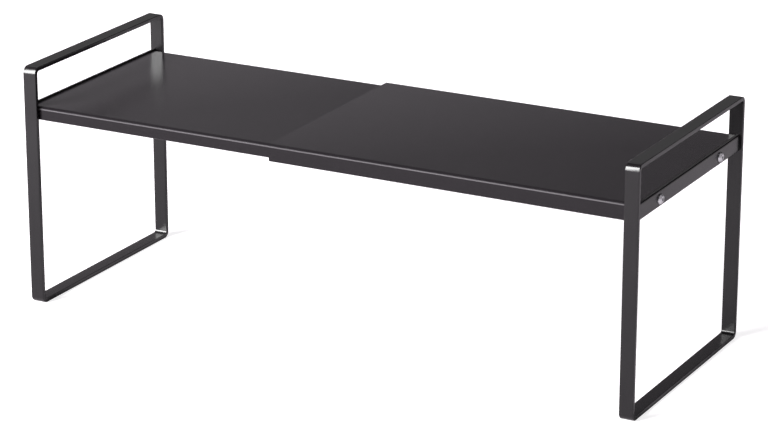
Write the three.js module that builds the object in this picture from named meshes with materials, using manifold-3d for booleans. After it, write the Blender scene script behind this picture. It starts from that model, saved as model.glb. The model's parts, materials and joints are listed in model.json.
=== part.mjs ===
// Expandable shelf organizer: two folded sheet panels that telescope between two flat-bar leg frames.
// Millimetres. X runs along the shelf, the front faces -Y, Z is up, and the floor is Z = 0.

import * as THREE from 'three';
import { mergeVertices } from 'three/addons/utils/BufferGeometryUtils.js';
import Module from 'manifold-3d';

const wasm = await Module();
wasm.setup();

// Panels: folded sheet, the outer one on the right, the inner one sliding inside it
const shelfHeight = 192.6;
const outerPanelDepth = 221;
const outerPanelLength = 350;
const innerPanelLength = 340;
const panelOverlap = 87;
const outerFlangeHeight = 16.2;
const outerLip = 11;
const innerLip = 10;
const sheetThickness = 1;
const sideBendInside = 2;
const lipBendInside = 0.5;
const endPlateMargin = 1;

// Leg frames: closed loops of flat bar, one at each end, that rise above the shelf as a rail
const railRise = 35.4;
const barWidth = 13.2;
const barThickness = 4;
const barEdgeRadius = 0.5;
const frameCornerInside = 2.5;

// Crossbars: flat bar on edge with its outer edges rounded, welded between the posts of each frame
const crossbarDrop = 0.15;
const crossbarHeight = 15.2;
const crossbarThickness = 3.2;
const crossbarInset = 2.2;
const crossbarEdgeRadius = 1.7;

// Screws, washers and nuts: two sets at each end
const screwSpacing = 131;
const screwDrop = 8.1;
const screwRadius = 2.4;
const screwStickOut = 2.5;
const screwTipChamfer = 0.6;
const headRadius = 4.75;
const headHeight = 2.75;
const headRimHeight = 0.6;
const headFlatRadius = 2.6;
const socketAcrossFlats = 3;
const socketDepth = 1.7;
const washerRadius = 4.5;
const washerThickness = 1;
const nutAcrossFlats = 8;
const nutThickness = 4;

// Glides: nylon blocks that take up the side gap between the two panels
const sideGap = 3.9;
const glideLength = 16;
const glideEndMargin = 2;
const glideEdgeMargin = 0.5;
const glideLeadIn = 1;
const pegRadius = 2;
const pegHeadRadius = 2.7;
const pegHeadHeight = 0.8;

// Clearances between what fits together
const rightPostGap = 0.8;
const leftPostGap = 0.3;
const slideTopPlay = 0.8;
const slideBottomPlay = 0.5;
const glidePlay = 0.3;
const holePlay = 0.3;
const threadPlay = 0.15;

// Drawing values: how far a cutting tool runs past its cut, and how finely curves are split
const cutMargin = 1;
const weldDistance = 1e-5;
const roundSegments = 24;
const arcSegments = 4;
const edgeSegments = 2;
const quarter = Math.PI / 2;

// Panel sizes that follow from the ones above
const sideBendRadius = sideBendInside + sheetThickness;
const lipBendRadius = lipBendInside + sheetThickness;
const outerPanel = {
  depth: outerPanelDepth,
  length: outerPanelLength,
  height: outerFlangeHeight,
  bottom: shelfHeight - outerFlangeHeight,
  lip: outerLip,
};
const innerPanel = {
  depth: outerPanelDepth - 2 * sheetThickness - 2 * sideGap,
  length: innerPanelLength,
  height: outerFlangeHeight - 2 * sheetThickness - slideTopPlay - slideBottomPlay,
  bottom: outerPanel.bottom + sheetThickness + slideBottomPlay,
  lip: innerLip,
};
const halfSpan = (outerPanelLength + innerPanelLength - panelOverlap) / 2;

// Frame and screw places: in each half, X = 0 is the panel's end face and +X points outwards
const rightFrameDepth = outerPanel.depth + 2 * rightPostGap + 2 * barThickness;
const leftFrameDepth = innerPanel.depth + 2 * leftPostGap + 2 * barThickness;
const frameHeight = shelfHeight + railRise;
const frameInnerEdge = crossbarThickness + crossbarInset - barWidth;
const crossbarBottom = shelfHeight - crossbarDrop - crossbarHeight;
const screwHeight = shelfHeight - crossbarDrop - screwDrop;
const screwLength = crossbarThickness + sheetThickness + washerThickness + nutThickness + screwStickOut;
const washerStart = -sheetThickness - washerThickness;
const nutStart = washerStart - nutThickness;
const holeRadius = screwRadius + holePlay;

// Glide places: the side gap runs between the inner panel's flange and the outer one's
const gapInnerFace = innerPanel.depth / 2;
const gapOuterFace = gapInnerFace + sideGap;
const glideThickness = sideGap - glidePlay;
const glideHeight = outerFlangeHeight - 2 * sideBendRadius - 2 * glideEdgeMargin;
const glideMiddle = outerPanel.bottom + outerFlangeHeight / 2;
const mouthGlideX = -outerPanel.length + glideEndMargin + glideLength / 2;
const tailGlideX = -innerPanel.length + glideEndMargin + glideLength / 2;

// Materials
const steelCoat = new THREE.MeshStandardMaterial({ color: 0x2c2b2d, metalness: 0.2, roughness: 0.45 });
const panelCoat = new THREE.MeshStandardMaterial({ color: 0x302f31, metalness: 0.2, roughness: 0.4 });
const zincPlate = new THREE.MeshStandardMaterial({ color: 0xc4c6c8, metalness: 1, roughness: 0.3 });
const nylon = new THREE.MeshStandardMaterial({ color: 0x1a1a1b, metalness: 0, roughness: 0.6 });

// Solid building blocks
function toSolid(geometry) {
  const bare = geometry.clone();
  bare.deleteAttribute('normal');
  bare.deleteAttribute('uv');
  const merged = mergeVertices(bare, weldDistance);
  const mesh = new wasm.Mesh({
    numProp: 3,
    vertProperties: new Float32Array(merged.attributes.position.array),
    triVerts: new Uint32Array(merged.index.array),
  });
  return new wasm.Manifold(mesh);
}

function toGeometry(solid) {
  const mesh = solid.getMesh();
  const geometry = new THREE.BufferGeometry();
  geometry.setAttribute('position', new THREE.BufferAttribute(mesh.vertProperties, 3));
  geometry.setIndex(new THREE.BufferAttribute(mesh.triVerts, 1));
  return geometry;
}

function joinAndCut(bodies, tools) {
  let solid = toSolid(bodies[0]);
  for (const body of bodies.slice(1)) {
    solid = solid.add(toSolid(body));
  }
  for (const tool of tools) {
    solid = solid.subtract(toSolid(tool));
  }
  return toGeometry(solid);
}

function extrude(shape, depth, edgeRadius = 0, curveSegments = arcSegments) {
  const body = new THREE.ExtrudeGeometry(shape, {
    depth: depth - 2 * edgeRadius,
    curveSegments,
    bevelEnabled: edgeRadius > 0,
    bevelSize: edgeRadius,
    bevelThickness: edgeRadius,
    bevelOffset: -edgeRadius,
    bevelSegments: edgeSegments,
  });
  return body.translate(0, 0, edgeRadius);
}

// A shape drawn in Y and Z, extruded from X = 0 towards +X
function extrudeAlongX(shape, length, edgeRadius, curveSegments) {
  return extrude(shape, length, edgeRadius, curveSegments).rotateX(quarter).rotateZ(quarter);
}

// A shape drawn in X and Z, extruded along Y on both sides of the middle
function extrudeAlongY(shape, width) {
  return extrude(shape, width).rotateX(quarter).translate(0, width / 2, 0);
}

function rodAlongX(radius, fromX, toX, y, z, segments = roundSegments) {
  const rod = new THREE.CylinderGeometry(radius, radius, toX - fromX, segments);
  return rod.rotateZ(-quarter).translate((fromX + toX) / 2, y, z);
}

function rodAlongY(radius, x, fromY, toY, z) {
  const rod = new THREE.CylinderGeometry(radius, radius, toY - fromY, roundSegments);
  return rod.translate(x, (fromY + toY) / 2, z);
}

function traceRoundedRectangle(path, left, right, bottom, top, radius) {
  path.moveTo(left + radius, bottom);
  path.lineTo(right - radius, bottom);
  path.absarc(right - radius, bottom + radius, radius, -quarter, 0, false);
  path.absarc(right - radius, top - radius, radius, 0, quarter, false);
  path.absarc(left + radius, top - radius, radius, quarter, 2 * quarter, false);
  path.absarc(left + radius, bottom + radius, radius, 2 * quarter, 3 * quarter, false);
  return path;
}

// Leg frame: one flat bar bent into a closed loop with rounded corners
function legFrame(depth) {
  const outside = depth / 2;
  const inside = outside - barThickness;
  const loop = traceRoundedRectangle(
    new THREE.Shape(),
    -outside,
    outside,
    0,
    frameHeight,
    frameCornerInside + barThickness,
  );
  const window = traceRoundedRectangle(
    new THREE.Path(),
    -inside,
    inside,
    barThickness,
    frameHeight - barThickness,
    frameCornerInside,
  );
  loop.holes.push(window);
  return extrudeAlongX(loop, barWidth, barEdgeRadius);
}

// The two screw holes at one height, through the crossbar and the panel's end plate
function screwHoles(height) {
  return [-1, 1].map((side) => rodAlongX(
    holeRadius,
    -sheetThickness - cutMargin,
    crossbarThickness + cutMargin,
    side * screwSpacing / 2,
    height,
  ));
}

// Crossbar: flat bar between the inner faces of the posts, drawn from its lower edge
function crossbar(frameDepth) {
  const roundMiddle = crossbarThickness - crossbarEdgeRadius;
  const roundTop = crossbarHeight - crossbarEdgeRadius;
  const section = new THREE.Shape();
  section.moveTo(0, 0);
  section.absarc(roundMiddle, crossbarEdgeRadius, crossbarEdgeRadius, -quarter, 0, false);
  section.absarc(roundMiddle, roundTop, crossbarEdgeRadius, 0, quarter, false);
  section.lineTo(0, crossbarHeight);
  const bar = extrudeAlongY(section, frameDepth - 2 * barThickness);
  return joinAndCut([bar], screwHoles(crossbarHeight - screwDrop));
}

// Cross-section of a panel: flat top, rounded bends, side flanges and lips turned in underneath
function channelSection(panel) {
  const side = panel.depth / 2;
  const bendMiddle = side - sideBendRadius;
  const lipMiddle = side - lipBendRadius;
  const lipEdge = side - panel.lip;
  const low = lipBendRadius;
  const high = panel.height - sideBendRadius;
  const section = new THREE.Shape();
  section.moveTo(-lipEdge, 0);
  section.absarc(-lipMiddle, low, lipBendRadius, -quarter, -2 * quarter, true);
  section.absarc(-bendMiddle, high, sideBendRadius, 2 * quarter, quarter, true);
  section.absarc(bendMiddle, high, sideBendRadius, quarter, 0, true);
  section.absarc(lipMiddle, low, lipBendRadius, 0, -quarter, true);
  section.lineTo(lipEdge, 0);
  section.lineTo(lipEdge, sheetThickness);
  section.absarc(lipMiddle, low, lipBendInside, -quarter, 0, false);
  section.absarc(bendMiddle, high, sideBendInside, 0, quarter, false);
  section.absarc(-bendMiddle, high, sideBendInside, quarter, 2 * quarter, false);
  section.absarc(-lipMiddle, low, lipBendInside, 2 * quarter, 3 * quarter, false);
  section.lineTo(-lipEdge, sheetThickness);
  return section;
}

// The end of a panel: a plate welded in under the top, flat against the crossbar
function endPlate(panel) {
  const low = Math.max(crossbarBottom - panel.bottom, 0);
  const high = panel.height - sheetThickness / 2;
  const width = panel.depth - 2 * sideBendRadius - 2 * endPlateMargin;
  const plate = new THREE.BoxGeometry(sheetThickness, width, high - low);
  return plate.translate(-sheetThickness / 2, 0, (low + high) / 2);
}

// Folded panel, drawn from its underside and running from its end face towards -X
function foldedPanel(panel, pegHoles) {
  const channel = extrudeAlongX(channelSection(panel), panel.length);
  channel.translate(-panel.length, 0, 0);
  const holes = [...screwHoles(screwHeight - panel.bottom), ...pegHoles];
  return joinAndCut([channel, endPlate(panel)], holes);
}

// The holes for the tail glides' pegs, one in each side flange of the inner panel
function tailPegHoles() {
  const reach = sheetThickness + cutMargin;
  return [-gapInnerFace, gapInnerFace].map((face) =>
    rodAlongY(pegRadius + holePlay, tailGlideX, face - reach, face + reach, glideMiddle - innerPanel.bottom));
}

// Button-head screw along X with a hexagon socket, drawn with its head's seat at X = 0
function screw() {
  const domeCentre = headDomeCentre();
  const domeRadius = Math.hypot(headRadius, headRimHeight - domeCentre);
  const rimAngle = Math.atan2(headRimHeight - domeCentre, headRadius);
  const flatAngle = Math.atan2(headHeight - domeCentre, headFlatRadius);
  const outline = new THREE.Path();
  outline.moveTo(0, -screwLength);
  outline.lineTo(screwRadius - screwTipChamfer, -screwLength);
  outline.lineTo(screwRadius, -screwLength + screwTipChamfer);
  outline.lineTo(screwRadius, 0);
  outline.lineTo(headRadius, 0);
  outline.lineTo(headRadius, headRimHeight);
  outline.absarc(0, domeCentre, domeRadius, rimAngle, flatAngle, false);
  outline.lineTo(0, headHeight);
  const body = new THREE.LatheGeometry(outline.getPoints(arcSegments), roundSegments).rotateZ(-quarter);
  const socketRadius = socketAcrossFlats / Math.sqrt(3);
  const socket = rodAlongX(socketRadius, headHeight - socketDepth, headHeight + cutMargin, 0, 0, 6);
  return joinAndCut([body], [socket]);
}

// Height of the dome's centre, for a dome on the axis through the rim edge and the flat's edge
function headDomeCentre() {
  const rim = headRadius ** 2 + headRimHeight ** 2;
  const flat = headFlatRadius ** 2 + headHeight ** 2;
  return (flat - rim) / (2 * (headHeight - headRimHeight));
}

// A plate from X = 0 with a round bore, for the washers and nuts
function boredPlate(outline, boreRadius, thickness) {
  const bore = new THREE.Path();
  bore.absarc(0, 0, boreRadius, 0, 4 * quarter, false);
  outline.holes.push(bore);
  return extrudeAlongX(outline, thickness, 0, roundSegments / 2);
}

function washer() {
  const outline = new THREE.Shape();
  outline.absarc(0, 0, washerRadius, 0, 4 * quarter, false);
  return boredPlate(outline, holeRadius, washerThickness);
}

function nut() {
  const cornerRadius = nutAcrossFlats / Math.sqrt(3);
  const corners = [];
  for (let corner = 0; corner < 6; corner += 1) {
    const angle = corner * Math.PI / 3;
    corners.push(new THREE.Vector2(cornerRadius * Math.cos(angle), cornerRadius * Math.sin(angle)));
  }
  return boredPlate(new THREE.Shape(corners), screwRadius + threadPlay, nutThickness);
}

// Glide block: its seat is at Y = 0, and its sliding face, with lead-ins at both ends, is at +Y
function glideBlock() {
  const end = glideLength / 2;
  const leadStart = end - glideLeadIn;
  const plan = new THREE.Shape();
  plan.moveTo(-end, 0);
  plan.lineTo(end, 0);
  plan.lineTo(end, glideThickness - glideLeadIn);
  plan.lineTo(leadStart, glideThickness);
  plan.lineTo(-leadStart, glideThickness);
  plan.lineTo(-end, glideThickness - glideLeadIn);
  return extrude(plan, glideHeight).translate(0, 0, -glideHeight / 2);
}

// Tail glide: a glide block with a snap-in peg through the inner panel's flange
function tailGlide() {
  const headStart = -sheetThickness - holePlay;
  const peg = rodAlongY(pegRadius, 0, headStart - pegHeadHeight, glideThickness / 2, 0);
  const head = rodAlongY(pegHeadRadius, 0, headStart - pegHeadHeight, headStart, 0);
  return joinAndCut([glideBlock(), peg, head], []);
}

// Assembly: both halves are drawn with their end at +X, and the left one is turned half way round
const shelf = new THREE.Group();
shelf.name = 'expandable_shelf_organizer';

const outerHalf = new THREE.Group();
outerHalf.name = 'outer_half';
outerHalf.position.x = halfSpan;

const innerHalf = new THREE.Group();
innerHalf.name = 'inner_half';
innerHalf.position.x = -halfSpan;
innerHalf.rotation.z = Math.PI;

shelf.add(outerHalf, innerHalf);

function addPiece(half, name, geometry, material) {
  const faceted = geometry.index ? geometry.toNonIndexed() : geometry;
  faceted.computeVertexNormals();
  const mesh = new THREE.Mesh(faceted, material.clone());
  mesh.name = name;
  half.add(mesh);
  return mesh;
}

// The front and the rear of a half, as the sign of its own Y axis
function sidesOf(half) {
  const front = half === innerHalf ? 1 : -1;
  return [['front', front], ['rear', -front]];
}

function addEnd(half, end, frameDepth) {
  const frame = addPiece(half, `${end}_leg_frame`, legFrame(frameDepth), steelCoat);
  frame.position.x = frameInnerEdge;
  const bar = addPiece(half, `${end}_crossbar`, crossbar(frameDepth), steelCoat);
  bar.position.z = crossbarBottom;
  for (const [place, side] of sidesOf(half)) {
    const y = side * screwSpacing / 2;
    const screwMesh = addPiece(half, `${end}_screw_${place}`, screw(), zincPlate);
    screwMesh.position.set(crossbarThickness, y, screwHeight);
    const washerMesh = addPiece(half, `${end}_washer_${place}`, washer(), zincPlate);
    washerMesh.position.set(washerStart, y, screwHeight);
    const nutMesh = addPiece(half, `${end}_nut_${place}`, nut(), zincPlate);
    nutMesh.position.set(nutStart, y, screwHeight);
  }
}

// Outer half: the mouth glides are bonded inside the panel's flanges, just within its open end
const outerPanelMesh = addPiece(outerHalf, 'outer_panel', foldedPanel(outerPanel, []), panelCoat);
outerPanelMesh.position.z = outerPanel.bottom;
addEnd(outerHalf, 'right', rightFrameDepth);
for (const [place, side] of sidesOf(outerHalf)) {
  const glide = addPiece(outerHalf, `mouth_glide_${place}`, glideBlock(), nylon);
  glide.position.set(mouthGlideX, side * gapOuterFace, glideMiddle);
  glide.rotation.z = side > 0 ? Math.PI : 0;
}

// Inner half: the tail glides are snapped into the panel's flanges, at its hidden end
const innerPanelMesh = addPiece(innerHalf, 'inner_panel', foldedPanel(innerPanel, tailPegHoles()), panelCoat);
innerPanelMesh.position.z = innerPanel.bottom;
addEnd(innerHalf, 'left', leftFrameDepth);
for (const [place, side] of sidesOf(innerHalf)) {
  const glide = addPiece(innerHalf, `tail_glide_${place}`, tailGlide(), nylon);
  glide.position.set(tailGlideX, side * gapInnerFace, glideMiddle);
  glide.rotation.z = side > 0 ? 0 : Math.PI;
}

export default shelf;
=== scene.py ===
"""Looks of the expandable shelf organizer: finishes, a pale stage, soft light and the camera."""

import json
import math

import bpy
from mathutils import Matrix, Vector

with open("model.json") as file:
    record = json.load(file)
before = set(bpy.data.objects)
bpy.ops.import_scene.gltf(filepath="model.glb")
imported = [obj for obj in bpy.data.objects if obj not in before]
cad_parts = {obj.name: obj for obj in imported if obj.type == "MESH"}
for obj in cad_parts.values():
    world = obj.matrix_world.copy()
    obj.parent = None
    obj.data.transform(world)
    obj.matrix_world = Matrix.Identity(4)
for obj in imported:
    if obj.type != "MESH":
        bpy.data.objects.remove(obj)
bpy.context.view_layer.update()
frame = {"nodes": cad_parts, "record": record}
nodes = frame["nodes"]
subparts = frame["record"]["subparts"]
scene = bpy.context.scene
scene.view_settings.view_transform = "Standard"


# Camera, at the photograph's viewing angle, with the tilt and the turn in radians
CAMERA_PLACE = (1.27216, -2.35770, 1.00945)
CAMERA_DOWN = 0.3273
CAMERA_TURN = 0.4925
CAMERA_LENS = 146.04
SENSOR_WIDTH = 36.0


def make_camera():
    data = bpy.data.cameras.new("photo_camera")
    data.sensor_width = SENSOR_WIDTH
    data.lens = CAMERA_LENS
    camera = bpy.data.objects.new("photo_camera", data)
    camera.location = CAMERA_PLACE
    camera.rotation_euler = (math.pi / 2 - CAMERA_DOWN, 0, CAMERA_TURN)
    scene.collection.objects.link(camera)
    scene.camera = camera


# Node helpers, with the range that most of a noise texture's values lie in
NOISE_LOW = 0.3
NOISE_HIGH = 0.7


def new_material(name):
    material = bpy.data.materials.new(name)
    material.use_nodes = True
    tree = material.node_tree
    return material, tree, tree.nodes["Principled BSDF"]


def add_node(tree, kind, **settings):
    node = tree.nodes.new(kind)
    for name, value in settings.items():
        setattr(node, name, value)
    return node


def noise(tree, scale, detail):
    """Noise over the piece's own space, with the scale given as features per metre."""
    place = add_node(tree, "ShaderNodeTexCoord")
    texture = add_node(tree, "ShaderNodeTexNoise")
    texture.inputs["Scale"].default_value = scale
    texture.inputs["Detail"].default_value = detail
    tree.links.new(place.outputs["Object"], texture.inputs["Vector"])
    return texture.outputs["Fac"]


def ramp(tree, source, low, high):
    """A noise texture's usual range spread between two values."""
    node = add_node(tree, "ShaderNodeMapRange")
    node.inputs["From Min"].default_value = NOISE_LOW
    node.inputs["From Max"].default_value = NOISE_HIGH
    node.inputs["To Min"].default_value = low
    node.inputs["To Max"].default_value = high
    tree.links.new(source, node.inputs["Value"])
    return node.outputs["Result"]


def blend_colours(tree, source, first, second):
    node = add_node(tree, "ShaderNodeMix", data_type="RGBA")
    node.inputs["A"].default_value = (*first, 1)
    node.inputs["B"].default_value = (*second, 1)
    tree.links.new(source, node.inputs["Factor"])
    return node.outputs["Result"]


def bump(tree, height, strength):
    node = add_node(tree, "ShaderNodeBump")
    node.inputs["Strength"].default_value = strength
    node.inputs["Distance"].default_value = BUMP_DEPTH
    tree.links.new(height, node.inputs["Height"])
    return node.outputs["Normal"]


# Finishes: the colours are linear, and a face's tilt is the Z of its normal
BUMP_DEPTH = 0.0001
PANEL_DARK = (0.0078, 0.0067, 0.0078)
PANEL_LIGHT = (0.0102, 0.0088, 0.0102)
FRAME_DARK = (0.003, 0.0026, 0.003)
FRAME_LIGHT = (0.0042, 0.0036, 0.0042)
ZINC_DARK = (0.62, 0.63, 0.65)
ZINC_LIGHT = (0.74, 0.74, 0.75)
NYLON_DARK = (0.012, 0.012, 0.013)
NYLON_LIGHT = (0.02, 0.02, 0.021)
# Painted sheen: a pale reflection painted on the panels' upward faces, strongest at their rear left
PAINTED_SHEEN_COLOUR = (1.0, 0.94, 1.0)
PAINTED_SHEEN_LEVEL = 0.018
PAINTED_SHEEN_LENGTH_SHARE = 0.9
PAINTED_SHEEN_DEPTH_SHARE = 0.75
# Painted highlight: a paler line painted along the lower part of the panels' bends
PAINTED_HIGHLIGHT_COLOUR = (0.08, 0.075, 0.08)
PAINTED_HIGHLIGHT_START = (0.01, 0.08)
PAINTED_HIGHLIGHT_STOP = (0.28, 0.5)
UPWARD_NORMAL = 0.9


def powder_coat(name, dark, light, roughness, specular):
    """Satin black coat: faint cloudiness, uneven gloss and a fine orange-peel surface."""
    material, tree, shader = new_material(name)
    clouds = noise(tree, scale=28, detail=3)
    peel = noise(tree, scale=900, detail=2)
    links = tree.links
    links.new(blend_colours(tree, clouds, dark, light), shader.inputs["Base Color"])
    links.new(ramp(tree, clouds, *roughness), shader.inputs["Roughness"])
    links.new(bump(tree, peel, strength=0.02), shader.inputs["Normal"])
    shader.inputs["Specular IOR Level"].default_value = specular
    return material


def rise(tree, start, stop):
    """Nothing on faces tilted up less than the start, and one on those tilted up more than the stop."""
    place = add_node(tree, "ShaderNodeTexCoord")
    facing = add_node(tree, "ShaderNodeSeparateXYZ")
    tree.links.new(place.outputs["Normal"], facing.inputs[0])
    share = add_node(tree, "ShaderNodeMapRange")
    share.inputs["From Min"].default_value = start
    share.inputs["From Max"].default_value = stop
    tree.links.new(facing.outputs["Z"], share.inputs["Value"])
    return share.outputs["Result"]


def upward_share(tree):
    """One on the faces that look straight up, and nothing on the others."""
    return rise(tree, UPWARD_NORMAL, 1)


def painted_highlight_share(tree):
    """One along the lower part of the bends between the top and the flanges, where a highlight is
    painted, and nothing elsewhere.
    """
    highlight_band = add_node(tree, "ShaderNodeMath", operation="SUBTRACT")
    tree.links.new(rise(tree, *PAINTED_HIGHLIGHT_START), highlight_band.inputs[0])
    tree.links.new(rise(tree, *PAINTED_HIGHLIGHT_STOP), highlight_band.inputs[1])
    return highlight_band.outputs[0]


def lay_over(tree, share, colour):
    """A second colour over the base colour, as strong as its share."""
    base = tree.nodes["Principled BSDF"].inputs["Base Color"]
    layers = add_node(tree, "ShaderNodeMix", data_type="RGBA")
    layers.inputs["B"].default_value = (*colour, 1)
    tree.links.new(share, layers.inputs["Factor"])
    tree.links.new(base.links[0].from_socket, layers.inputs["A"])
    tree.links.new(layers.outputs["Result"], base)


def painted_top_sheen(tree, corner, length, depth):
    """The painted sheen's share on upward faces, a painted reflection: strongest at the given corner,
    gone towards the front right.
    """
    place = add_node(tree, "ShaderNodeTexCoord")
    away = add_node(tree, "ShaderNodeVectorMath", operation="SUBTRACT")
    away.inputs[1].default_value = corner
    tree.links.new(place.outputs["Object"], away.inputs[0])
    slope = add_node(tree, "ShaderNodeVectorMath", operation="DOT_PRODUCT")
    slope.inputs[1].default_value = (PAINTED_SHEEN_LENGTH_SHARE / length, -PAINTED_SHEEN_DEPTH_SHARE / depth, 0)
    tree.links.new(away.outputs[0], slope.inputs[0])
    level = add_node(tree, "ShaderNodeMapRange")
    level.inputs["To Min"].default_value = PAINTED_SHEEN_LEVEL
    level.inputs["To Max"].default_value = 0
    tree.links.new(slope.outputs["Value"], level.inputs["Value"])
    painted_sheen = add_node(tree, "ShaderNodeMath", operation="MULTIPLY")
    tree.links.new(level.outputs["Result"], painted_sheen.inputs[0])
    tree.links.new(upward_share(tree), painted_sheen.inputs[1])
    return painted_sheen.outputs[0]


def panel_coat(name, low, high, length):
    """The panels' powder coat: a painted reflection fades over the top that shows, and a painted
    highlight makes the bends paler.
    """
    material = powder_coat(name, PANEL_DARK, PANEL_LIGHT, roughness=(0.19, 0.23), specular=0.26)
    tree = material.node_tree
    rear_left = (low.x, high.y, 0)
    # Painted reflection over the panel's top
    lay_over(tree, painted_top_sheen(tree, rear_left, length, high.y - low.y), PAINTED_SHEEN_COLOUR)
    # Painted highlight along the bends
    lay_over(tree, painted_highlight_share(tree), PAINTED_HIGHLIGHT_COLOUR)
    return material


def high_top_share(tree, height):
    """One on the upward faces above the given height, and nothing elsewhere."""
    place = add_node(tree, "ShaderNodeTexCoord")
    axes = add_node(tree, "ShaderNodeSeparateXYZ")
    tree.links.new(place.outputs["Object"], axes.inputs[0])
    above = add_node(tree, "ShaderNodeMath", operation="GREATER_THAN")
    above.inputs[1].default_value = height
    tree.links.new(axes.outputs["Z"], above.inputs[0])
    share = add_node(tree, "ShaderNodeMath", operation="MULTIPLY")
    tree.links.new(above.outputs[0], share.inputs[0])
    tree.links.new(upward_share(tree), share.inputs[1])
    return share.outputs[0]


def frame_coat(shelf_height):
    """The leg frames' powder coat: darker and glossier, but matt on top of the rails and crossbars."""
    material = powder_coat("frame_satin", FRAME_DARK, FRAME_LIGHT, roughness=(0.22, 0.26), specular=0.5)
    tree = material.node_tree
    roughness = tree.nodes["Principled BSDF"].inputs["Roughness"]
    rougher = add_node(tree, "ShaderNodeMath", operation="MAXIMUM")
    tree.links.new(roughness.links[0].from_socket, rougher.inputs[0])
    tree.links.new(high_top_share(tree, shelf_height), rougher.inputs[1])
    tree.links.new(rougher.outputs[0], roughness)
    return material


def zinc_plate():
    """Bright zinc on the screws: metallic, with a slightly uneven polish."""
    material, tree, shader = new_material("bright_zinc")
    polish = noise(tree, scale=700, detail=3)
    links = tree.links
    colour = blend_colours(tree, polish, ZINC_DARK, ZINC_LIGHT)
    links.new(colour, shader.inputs["Base Color"])
    links.new(ramp(tree, polish, 0.18, 0.3), shader.inputs["Roughness"])
    links.new(bump(tree, polish, strength=0.05), shader.inputs["Normal"])
    shader.inputs["Metallic"].default_value = 1.0
    return material


def black_nylon():
    """Moulded black nylon on the glides: dull, with a fine grain."""
    material, tree, shader = new_material("black_nylon")
    grain = noise(tree, scale=1600, detail=2)
    links = tree.links
    colour = blend_colours(tree, grain, NYLON_DARK, NYLON_LIGHT)
    links.new(colour, shader.inputs["Base Color"])
    links.new(ramp(tree, grain, 0.5, 0.65), shader.inputs["Roughness"])
    links.new(bump(tree, grain, strength=0.1), shader.inputs["Normal"])
    return material


# CAD nodes: the finish of each slot, soft edges and smooth bends
EDGE_RADIUS = 0.00015
SHARP_ANGLE = math.radians(50)
WELD_DISTANCE = 1e-6


def box_of(node):
    """The lowest and the highest corner of a node's own mesh."""
    places = [vertex.co for vertex in node.data.vertices]
    low = Vector([min(place[axis] for place in places) for axis in range(3)])
    high = Vector([max(place[axis] for place in places) for axis in range(3)])
    return low, high


def smooth_bends(node):
    """Smooth shading without the normals that came with the file."""
    custom = node.data.attributes.get("custom_normal")
    if custom:
        node.data.attributes.remove(custom)
    node.data.shade_smooth()


def soften_edges(node):
    weld = node.modifiers.new("weld", "WELD")
    weld.merge_threshold = WELD_DISTANCE
    edges = node.modifiers.new("soft_edges", "BEVEL")
    edges.width = EDGE_RADIUS
    edges.segments = 2
    edges.limit_method = "ANGLE"
    edges.angle_limit = SHARP_ANGLE
    normals = node.modifiers.new("even_normals", "WEIGHTED_NORMAL")
    normals.weight = 100
    normals.keep_sharp = True


def dress_nodes():
    inner_low, inner_high = box_of(nodes["inner_panel"])
    outer_low, outer_high = box_of(nodes["outer_panel"])
    inner_length = outer_low.x - inner_low.x
    outer_length = outer_high.x - outer_low.x
    finishes = {
        "inner_panel": panel_coat("inner_panel_satin", inner_low, inner_high, inner_length),
        "outer_panel": panel_coat("outer_panel_satin", outer_low, outer_high, outer_length),
        "frame_coat": frame_coat(outer_low.z),
        "zinc_plate": zinc_plate(),
        "nylon": black_nylon(),
    }
    for part in subparts:
        name = part["node"]
        slot = part["material_slot"]
        node = nodes[name]
        node.data.materials.clear()
        node.data.materials.append(finishes.get(name) or finishes[slot])
        smooth_bends(node)
        soften_edges(node)


# Stage: a round pale floor with a low rim around it, white to the camera, that keeps the object's shadow
STAGE_RADIUS = 9.0
STAGE_SIDES = 48
RIM_HEIGHT = 1.5
STAGE_COLOUR = (0.52, 0.485, 0.52)
CAMERA_GLOW = 0.8
MIRROR_GLOW = 0.1


def pale_stage():
    """A matt pale surface that glows for the camera, and faintly for rays mirrored by the object."""
    material = bpy.data.materials.new("pale_stage")
    material.use_nodes = True
    tree = material.node_tree
    tree.nodes.clear()
    links = tree.links
    path = add_node(tree, "ShaderNodeLightPath")
    mirrored = add_node(tree, "ShaderNodeMath", operation="MAXIMUM")
    links.new(path.outputs["Is Glossy Ray"], mirrored.inputs[0])
    links.new(path.outputs["Is Transmission Ray"], mirrored.inputs[1])
    mirror_level = add_node(tree, "ShaderNodeMath", operation="MULTIPLY")
    mirror_level.inputs[1].default_value = MIRROR_GLOW
    links.new(mirrored.outputs[0], mirror_level.inputs[0])
    level = add_node(tree, "ShaderNodeMath", operation="MULTIPLY_ADD")
    level.inputs[1].default_value = CAMERA_GLOW
    links.new(path.outputs["Is Camera Ray"], level.inputs[0])
    links.new(mirror_level.outputs[0], level.inputs[2])
    matt = add_node(tree, "ShaderNodeBsdfDiffuse")
    matt.inputs["Color"].default_value = (*STAGE_COLOUR, 1)
    glow = add_node(tree, "ShaderNodeEmission")
    links.new(level.outputs[0], glow.inputs["Strength"])
    both = add_node(tree, "ShaderNodeAddShader")
    links.new(matt.outputs[0], both.inputs[0])
    links.new(glow.outputs[0], both.inputs[1])
    output = add_node(tree, "ShaderNodeOutputMaterial")
    links.new(both.outputs[0], output.inputs["Surface"])
    return material


def make_stage():
    corners = []
    for height in (0, RIM_HEIGHT):
        for side in range(STAGE_SIDES):
            angle = 2 * math.pi * side / STAGE_SIDES
            corners.append((STAGE_RADIUS * math.cos(angle), STAGE_RADIUS * math.sin(angle), height))
    faces = [range(STAGE_SIDES)]
    for side in range(STAGE_SIDES):
        following = (side + 1) % STAGE_SIDES
        faces.append((side, side + STAGE_SIDES, following + STAGE_SIDES, following))
    mesh = bpy.data.meshes.new("stage")
    mesh.from_pydata(corners, [], faces)
    mesh.materials.append(pale_stage())
    stage = bpy.data.objects.new("stage", mesh)
    scene.collection.objects.link(stage)


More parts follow.
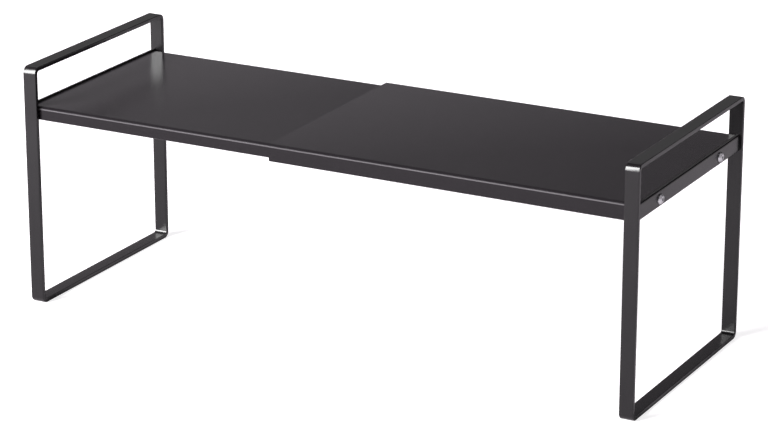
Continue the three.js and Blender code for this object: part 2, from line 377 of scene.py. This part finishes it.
# Light: an upright softbox in front on the left, in a room that is dark between its lighter sides
SOFTBOX_AIM = Vector((0, 0, 0.115))
SOFTBOX_PLACE = Vector((-2.65, -4.3, 2.5))
SOFTBOX_WIDTH = 2.3
SOFTBOX_HEIGHT = 4.9
SOFTBOX_LEVEL = 31.0
SHEEN_STEP = 0.02
ROOM_LEVELS = ((-0.76, 0.54), (-0.25, 0.06), (0.35, 0.05), (0.6, 0.4))
ROOM_TINT = 0.94


def softbox_layer(name, step_back):
    """One layer of the softbox, facing the object from its place or a step behind it."""
    data = bpy.data.lights.new(name, "AREA")
    data.shape = "RECTANGLE"
    data.size = SOFTBOX_WIDTH
    data.size_y = SOFTBOX_HEIGHT
    data.energy = SOFTBOX_LEVEL * math.pi * SOFTBOX_WIDTH * SOFTBOX_HEIGHT
    lamp = bpy.data.objects.new(name, data)
    back = (SOFTBOX_PLACE - SOFTBOX_AIM).normalized()
    across = Vector((0, 0, 1)).cross(back).normalized()
    turn = Matrix((across, back.cross(across), back)).transposed().to_4x4()
    lamp.matrix_world = Matrix.Translation(SOFTBOX_PLACE + back * step_back) @ turn
    lamp.visible_camera = False
    scene.collection.objects.link(lamp)
    return lamp


def mirroring_pieces():
    """A collection of all the nodes but the panels."""
    pieces = bpy.data.collections.new("mirroring_pieces")
    for part in subparts:
        if part["material_slot"] != "panel_coat":
            pieces.objects.link(nodes[part["node"]])
    return pieces


def make_softbox():
    """The softbox lights every piece, but the wide panels don't mirror it, so they never glare."""
    matt = softbox_layer("softbox_matt", 0)
    matt.visible_glossy = False
    sheen = softbox_layer("softbox_sheen", SHEEN_STEP)
    sheen.visible_diffuse = False
    sheen.light_linking.receiver_collection = mirroring_pieces()


def make_room():
    """World light whose level depends on how far left or right it comes from."""
    world = bpy.data.worlds.new("room")
    scene.world = world
    world.use_nodes = True
    tree = world.node_tree
    direction = add_node(tree, "ShaderNodeTexCoord")
    axes = add_node(tree, "ShaderNodeSeparateXYZ")
    tree.links.new(direction.outputs["Generated"], axes.inputs[0])
    across = add_node(tree, "ShaderNodeMapRange")
    across.inputs["From Min"].default_value = -1
    tree.links.new(axes.outputs["X"], across.inputs["Value"])
    levels = add_node(tree, "ShaderNodeValToRGB")
    stops = levels.color_ramp.elements
    while len(stops) < len(ROOM_LEVELS):
        stops.new(1)
    for stop, (place, level) in zip(stops, ROOM_LEVELS):
        stop.position = (place + 1) / 2
        stop.color = (level, ROOM_TINT * level, level, 1)
    tree.links.new(across.outputs["Result"], levels.inputs[0])
    tree.links.new(levels.outputs["Color"], tree.nodes["Background"].inputs["Color"])


make_camera()
dress_nodes()
make_stage()
make_softbox()
make_room()
